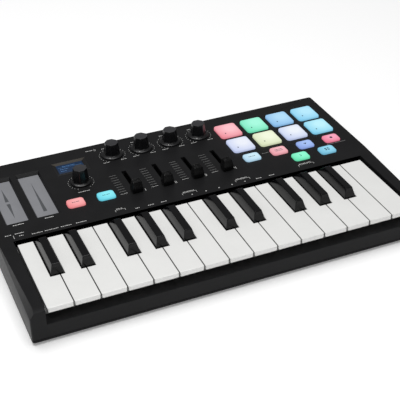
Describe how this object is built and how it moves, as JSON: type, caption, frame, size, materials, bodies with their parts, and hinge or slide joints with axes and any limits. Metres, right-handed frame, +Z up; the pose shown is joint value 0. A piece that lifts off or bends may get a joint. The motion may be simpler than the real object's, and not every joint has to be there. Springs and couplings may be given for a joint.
{
  "type": "midi keyboard",
  "caption": "Compact desktop keyboard controller with mini piano keys, backlit pads and buttons, knobs, short faders, two touch strips and a small screen.",
  "frame": {"origin": "on the table surface, under the middle of the case", "axes": "+Z up, +X along the keys towards the high notes, -Y towards the player"},
  "size_m": [0.327, 0.2006, 0.0438],
  "materials": {
    "case_plastic": "fine-textured charcoal moulded plastic",
    "floor_plastic": "fine-textured black moulded plastic",
    "chassis_plastic": "plain dark grey moulded plastic",
    "white_key_plastic": "matte off-white moulded plastic",
    "black_key_plastic": "satin black moulded plastic",
    "knob_plastic": "soft-touch dark grey plastic",
    "fader_plastic": "black moulded plastic with fine ribs",
    "foot_rubber": "black rubber",
    "contact_rubber": "pale grey silicone rubber",
    "circuit_board": "green solder-masked board with black components",
    "screen_glass": "dark blue lit screen behind a clear cover",
    "touch_surface": "smooth grey touch surface",
    "pad_pink": "backlit translucent silicone",
    "button_salmon": "backlit translucent silicone",
    "pad_mint": "backlit translucent silicone",
    "button_cyan": "backlit translucent silicone",
    "pad_light_blue": "backlit translucent silicone",
    "button_light_blue": "backlit translucent silicone",
    "pad_sky": "backlit translucent silicone",
    "button_pale_pink": "backlit translucent silicone",
    "pad_lavender_white": "backlit translucent silicone",
    "button_periwinkle": "backlit translucent silicone",
    "pad_pale_yellow": "backlit translucent silicone",
    "button_rose": "backlit translucent silicone",
    "pad_lilac": "backlit translucent silicone",
    "button_mint": "backlit translucent silicone",
    "pad_pale_cyan": "backlit translucent silicone",
    "button_sky": "backlit translucent silicone"
  },
  "bodies": {
    "case": {"top_case": "case_plastic", "bottom_case": "floor_plastic", "front_foot_strip": "foot_rubber", "rear_foot_strip": "foot_rubber", "key_chassis": "chassis_plastic", "key_board": "circuit_board", "key_contact_strip": "contact_rubber", "control_board": "circuit_board", "display_module": "screen_glass", "touch_strip_board": "touch_surface"},
    "white_key_01": {"white_key_01": "white_key_plastic"},
    "white_key_02": {"white_key_02": "white_key_plastic"},
    "white_key_03": {"white_key_03": "white_key_plastic"},
    "white_key_04": {"white_key_04": "white_key_plastic"},
    "white_key_05": {"white_key_05": "white_key_plastic"},
    "white_key_06": {"white_key_06": "white_key_plastic"},
    "white_key_07": {"white_key_07": "white_key_plastic"},
    "white_key_08": {"white_key_08": "white_key_plastic"},
    "white_key_09": {"white_key_09": "white_key_plastic"},
    "white_key_10": {"white_key_10": "white_key_plastic"},
    "white_key_11": {"white_key_11": "white_key_plastic"},
    "white_key_12": {"white_key_12": "white_key_plastic"},
    "white_key_13": {"white_key_13": "white_key_plastic"},
    "white_key_14": {"white_key_14": "white_key_plastic"},
    "white_key_15": {"white_key_15": "white_key_plastic"},
    "black_key_01": {"black_key_01": "black_key_plastic"},
    "black_key_02": {"black_key_02": "black_key_plastic"},
    "black_key_03": {"black_key_03": "black_key_plastic"},
    "black_key_04": {"black_key_04": "black_key_plastic"},
    "black_key_05": {"black_key_05": "black_key_plastic"},
    "black_key_06": {"black_key_06": "black_key_plastic"},
    "black_key_07": {"black_key_07": "black_key_plastic"},
    "black_key_08": {"black_key_08": "black_key_plastic"},
    "black_key_09": {"black_key_09": "black_key_plastic"},
    "black_key_10": {"black_key_10": "black_key_plastic"},
    "pad_1": {"pad_1": "pad_pink"},
    "pad_2": {"pad_2": "pad_mint"},
    "pad_3": {"pad_3": "pad_light_blue"},
    "pad_4": {"pad_4": "pad_sky"},
    "pad_5": {"pad_5": "pad_lavender_white"},
    "pad_6": {"pad_6": "pad_pale_yellow"},
    "pad_7": {"pad_7": "pad_lilac"},
    "pad_8": {"pad_8": "pad_pale_cyan"},
    "octave_down_button": {"octave_down_button": "button_salmon"},
    "octave_up_button": {"octave_up_button": "button_cyan"},
    "transport_button_1": {"transport_button_1": "button_light_blue"},
    "transport_button_2": {"transport_button_2": "button_pale_pink"},
    "transport_button_3": {"transport_button_3": "button_periwinkle"},
    "transport_button_4": {"transport_button_4": "button_rose"},
    "page_button_1": {"page_button_1": "button_mint"},
    "page_button_2": {"page_button_2": "button_sky"},
    "encoder_knob": {"encoder_knob": "knob_plastic"},
    "knob_1": {"knob_1": "knob_plastic"},
    "knob_2": {"knob_2": "knob_plastic"},
    "knob_3": {"knob_3": "knob_plastic"},
    "knob_4": {"knob_4": "knob_plastic"},
    "fader_cap_1": {"fader_cap_1": "fader_plastic"},
    "fader_cap_2": {"fader_cap_2": "fader_plastic"},
    "fader_cap_3": {"fader_cap_3": "fader_plastic"},
    "fader_cap_4": {"fader_cap_4": "fader_plastic"}
  },
  "joints": [
    {"name": "white_key_01_hinge", "type": "hinge", "parent": "case", "child": "white_key_01", "pos_m": [-0.14, 0.0057, 0.015], "axis": [1, 0, 0], "range_deg": [0, 3.3], "stiffness_Nm_per_rad": 0.06, "springref_deg": -20.05},
    {"name": "white_key_02_hinge", "type": "hinge", "parent": "case", "child": "white_key_02", "pos_m": [-0.12, 0.0057, 0.015], "axis": [1, 0, 0], "range_deg": [0, 3.3], "stiffness_Nm_per_rad": 0.06, "springref_deg": -20.05},
    {"name": "white_key_03_hinge", "type": "hinge", "parent": "case", "child": "white_key_03", "pos_m": [-0.1, 0.0057, 0.015], "axis": [1, 0, 0], "range_deg": [0, 3.3], "stiffness_Nm_per_rad": 0.06, "springref_deg": -20.05},
    {"name": "white_key_04_hinge", "type": "hinge", "parent": "case", "child": "white_key_04", "pos_m": [-0.08, 0.0057, 0.015], "axis": [1, 0, 0], "range_deg": [0, 3.3], "stiffness_Nm_per_rad": 0.06, "springref_deg": -20.05},
    {"name": "white_key_05_hinge", "type": "hinge", "parent": "case", "child": "white_key_05", "pos_m": [-0.06, 0.0057, 0.015], "axis": [1, 0, 0], "range_deg": [0, 3.3], "stiffness_Nm_per_rad": 0.06, "springref_deg": -20.05},
    {"name": "white_key_06_hinge", "type": "hinge", "parent": "case", "child": "white_key_06", "pos_m": [-0.04, 0.0057, 0.015], "axis": [1, 0, 0], "range_deg": [0, 3.3], "stiffness_Nm_per_rad": 0.06, "springref_deg": -20.05},
    {"name": "white_key_07_hinge", "type": "hinge", "parent": "case", "child": "white_key_07", "pos_m": [-0.02, 0.0057, 0.015], "axis": [1, 0, 0], "range_deg": [0, 3.3], "stiffness_Nm_per_rad": 0.06, "springref_deg": -20.05},
    {"name": "white_key_08_hinge", "type": "hinge", "parent": "case", "child": "white_key_08", "pos_m": [0, 0.0057, 0.015], "axis": [1, 0, 0], "range_deg": [0, 3.3], "stiffness_Nm_per_rad": 0.06, "springref_deg": -20.05},
    {"name": "white_key_09_hinge", "type": "hinge", "parent": "case", "child": "white_key_09", "pos_m": [0.02, 0.0057, 0.015], "axis": [1, 0, 0], "range_deg": [0, 3.3], "stiffness_Nm_per_rad": 0.06, "springref_deg": -20.05},
    {"name": "white_key_10_hinge", "type": "hinge", "parent": "case", "child": "white_key_10", "pos_m": [0.04, 0.0057, 0.015], "axis": [1, 0, 0], "range_deg": [0, 3.3], "stiffness_Nm_per_rad": 0.06, "springref_deg": -20.05},
    {"name": "white_key_11_hinge", "type": "hinge", "parent": "case", "child": "white_key_11", "pos_m": [0.06, 0.0057, 0.015], "axis": [1, 0, 0], "range_deg": [0, 3.3], "stiffness_Nm_per_rad": 0.06, "springref_deg": -20.05},
    {"name": "white_key_12_hinge", "type": "hinge", "parent": "case", "child": "white_key_12", "pos_m": [0.08, 0.0057, 0.015], "axis": [1, 0, 0], "range_deg": [0, 3.3], "stiffness_Nm_per_rad": 0.06, "springref_deg": -20.05},
    {"name": "white_key_13_hinge", "type": "hinge", "parent": "case", "child": "white_key_13", "pos_m": [0.1, 0.0057, 0.015], "axis": [1, 0, 0], "range_deg": [0, 3.3], "stiffness_Nm_per_rad": 0.06, "springref_deg": -20.05},
    {"name": "white_key_14_hinge", "type": "hinge", "parent": "case", "child": "white_key_14", "pos_m": [0.12, 0.0057, 0.015], "axis": [1, 0, 0], "range_deg": [0, 3.3], "stiffness_Nm_per_rad": 0.06, "springref_deg": -20.05},
    {"name": "white_key_15_hinge", "type": "hinge", "parent": "case", "child": "white_key_15", "pos_m": [0.14, 0.0057, 0.015], "axis": [1, 0, 0], "range_deg": [0, 3.3], "stiffness_Nm_per_rad": 0.06, "springref_deg": -20.05},
    {"name": "black_key_01_hinge", "type": "hinge", "parent": "case", "child": "black_key_01", "pos_m": [-0.1319, 0.0057, 0.015], "axis": [1, 0, 0], "range_deg": [0, 3.3], "stiffness_Nm_per_rad": 0.06, "springref_deg": -20.05},
    {"name": "black_key_02_hinge", "type": "hinge", "parent": "case", "child": "black_key_02", "pos_m": [-0.1083, 0.0057, 0.015], "axis": [1, 0, 0], "range_deg": [0, 3.3], "stiffness_Nm_per_rad": 0.06, "springref_deg": -20.05},
    {"name": "black_key_03_hinge", "type": "hinge", "parent": "case", "child": "black_key_03", "pos_m": [-0.0724, 0.0057, 0.015], "axis": [1, 0, 0], "range_deg": [0, 3.3], "stiffness_Nm_per_rad": 0.06, "springref_deg": -20.05},
    {"name": "black_key_04_hinge", "type": "hinge", "parent": "case", "child": "black_key_04", "pos_m": [-0.0498, 0.0057, 0.015], "axis": [1, 0, 0], "range_deg": [0, 3.3], "stiffness_Nm_per_rad": 0.06, "springref_deg": -20.05},
    {"name": "black_key_05_hinge", "type": "hinge", "parent": "case", "child": "black_key_05", "pos_m": [-0.0274, 0.0057, 0.015], "axis": [1, 0, 0], "range_deg": [0, 3.3], "stiffness_Nm_per_rad": 0.06, "springref_deg": -20.05},
    {"name": "black_key_06_hinge", "type": "hinge", "parent": "case", "child": "black_key_06", "pos_m": [0.0081, 0.0057, 0.015], "axis": [1, 0, 0], "range_deg": [0, 3.3], "stiffness_Nm_per_rad": 0.06, "springref_deg": -20.05},
    {"name": "black_key_07_hinge", "type": "hinge", "parent": "case", "child": "black_key_07", "pos_m": [0.0317, 0.0057, 0.015], "axis": [1, 0, 0], "range_deg": [0, 3.3], "stiffness_Nm_per_rad": 0.06, "springref_deg": -20.05},
    {"name": "black_key_08_hinge", "type": "hinge", "parent": "case", "child": "black_key_08", "pos_m": [0.0676, 0.0057, 0.015], "axis": [1, 0, 0], "range_deg": [0, 3.3], "stiffness_Nm_per_rad": 0.06, "springref_deg": -20.05},
    {"name": "black_key_09_hinge", "type": "hinge", "parent": "case", "child": "black_key_09", "pos_m": [0.0902, 0.0057, 0.015], "axis": [1, 0, 0], "range_deg": [0, 3.3], "stiffness_Nm_per_rad": 0.06, "springref_deg": -20.05},
    {"name": "black_key_10_hinge", "type": "hinge", "parent": "case", "child": "black_key_10", "pos_m": [0.1126, 0.0057, 0.015], "axis": [1, 0, 0], "range_deg": [0, 3.3], "stiffness_Nm_per_rad": 0.06, "springref_deg": -20.05},
    {"name": "pad_1_press", "type": "slide", "parent": "case", "child": "pad_1", "axis": [0, 0, -1], "range_m": [0, 0.001], "stiffness_N_per_m": 600, "springref_m": -0.001},
    {"name": "pad_2_press", "type": "slide", "parent": "case", "child": "pad_2", "axis": [0, 0, -1], "range_m": [0, 0.001], "stiffness_N_per_m": 600, "springref_m": -0.001},
    {"name": "pad_3_press", "type": "slide", "parent": "case", "child": "pad_3", "axis": [0, 0, -1], "range_m": [0, 0.001], "stiffness_N_per_m": 600, "springref_m": -0.001},
    {"name": "pad_4_press", "type": "slide", "parent": "case", "child": "pad_4", "axis": [0, 0, -1], "range_m": [0, 0.001], "stiffness_N_per_m": 600, "springref_m": -0.001},
    {"name": "pad_5_press", "type": "slide", "parent": "case", "child": "pad_5", "axis": [0, 0, -1], "range_m": [0, 0.001], "stiffness_N_per_m": 600, "springref_m": -0.001},
    {"name": "pad_6_press", "type": "slide", "parent": "case", "child": "pad_6", "axis": [0, 0, -1], "range_m": [0, 0.001], "stiffness_N_per_m": 600, "springref_m": -0.001},
    {"name": "pad_7_press", "type": "slide", "parent": "case", "child": "pad_7", "axis": [0, 0, -1], "range_m": [0, 0.001], "stiffness_N_per_m": 600, "springref_m": -0.001},
    {"name": "pad_8_press", "type": "slide", "parent": "case", "child": "pad_8", "axis": [0, 0, -1], "range_m": [0, 0.001], "stiffness_N_per_m": 600, "springref_m": -0.001},
    {"name": "octave_down_button_press", "type": "slide", "parent": "case", "child": "octave_down_button", "axis": [0, 0, -1], "range_m": [0, 0.001], "stiffness_N_per_m": 500, "springref_m": -0.001},
    {"name": "octave_up_button_press", "type": "slide", "parent": "case", "child": "octave_up_button", "axis": [0, 0, -1], "range_m": [0, 0.001], "stiffness_N_per_m": 500, "springref_m": -0.001},
    {"name": "transport_button_1_press", "type": "slide", "parent": "case", "child": "transport_button_1", "axis": [0, 0, -1], "range_m": [0, 0.001], "stiffness_N_per_m": 500, "springref_m": -0.001},
    {"name": "transport_button_2_press", "type": "slide", "parent": "case", "child": "transport_button_2", "axis": [0, 0, -1], "range_m": [0, 0.001], "stiffness_N_per_m": 500, "springref_m": -0.001},
    {"name": "transport_button_3_press", "type": "slide", "parent": "case", "child": "transport_button_3", "axis": [0, 0, -1], "range_m": [0, 0.001], "stiffness_N_per_m": 500, "springref_m": -0.001},
    {"name": "transport_button_4_press", "type": "slide", "parent": "case", "child": "transport_button_4", "axis": [0, 0, -1], "range_m": [0, 0.001], "stiffness_N_per_m": 500, "springref_m": -0.001},
    {"name": "page_button_1_press", "type": "slide", "parent": "case", "child": "page_button_1", "axis": [0, 0, -1], "range_m": [0, 0.001], "stiffness_N_per_m": 500, "springref_m": -0.001},
    {"name": "page_button_2_press", "type": "slide", "parent": "case", "child": "page_button_2", "axis": [0, 0, -1], "range_m": [0, 0.001], "stiffness_N_per_m": 500, "springref_m": -0.001},
    {"name": "encoder_turn", "type": "hinge", "parent": "case", "child": "encoder_knob", "pos_m": [-0.0795, 0.0467, 0.0298], "axis": [0, 0, -1], "continuous": true},
    {"name": "knob_1_turn", "type": "hinge", "parent": "case", "child": "knob_1", "pos_m": [-0.0417, 0.0776, 0.0298], "axis": [0, 0, -1], "range_deg": [0, 300]},
    {"name": "knob_2_turn", "type": "hinge", "parent": "case", "child": "knob_2", "pos_m": [-0.0148, 0.0776, 0.0298], "axis": [0, 0, -1], "range_deg": [0, 300]},
    {"name": "knob_3_turn", "type": "hinge", "parent": "case", "child": "knob_3", "pos_m": [0.0121, 0.0776, 0.0298], "axis": [0, 0, -1], "range_deg": [0, 300]},
    {"name": "knob_4_turn", "type": "hinge", "parent": "case", "child": "knob_4", "pos_m": [0.039, 0.0776, 0.0298], "axis": [0, 0, -1], "range_deg": [0, 300]},
    {"name": "fader_cap_1_slide", "type": "slide", "parent": "case", "child": "fader_cap_1", "axis": [0, 1, 0], "range_m": [0, 0.03]},
    {"name": "fader_cap_2_slide", "type": "slide", "parent": "case", "child": "fader_cap_2", "axis": [0, 1, 0], "range_m": [0, 0.03]},
    {"name": "fader_cap_3_slide", "type": "slide", "parent": "case", "child": "fader_cap_3", "axis": [0, 1, 0], "range_m": [0, 0.03]},
    {"name": "fader_cap_4_slide", "type": "slide", "parent": "case", "child": "fader_cap_4", "axis": [0, 1, 0], "range_m": [0, 0.03]}
  ]
}
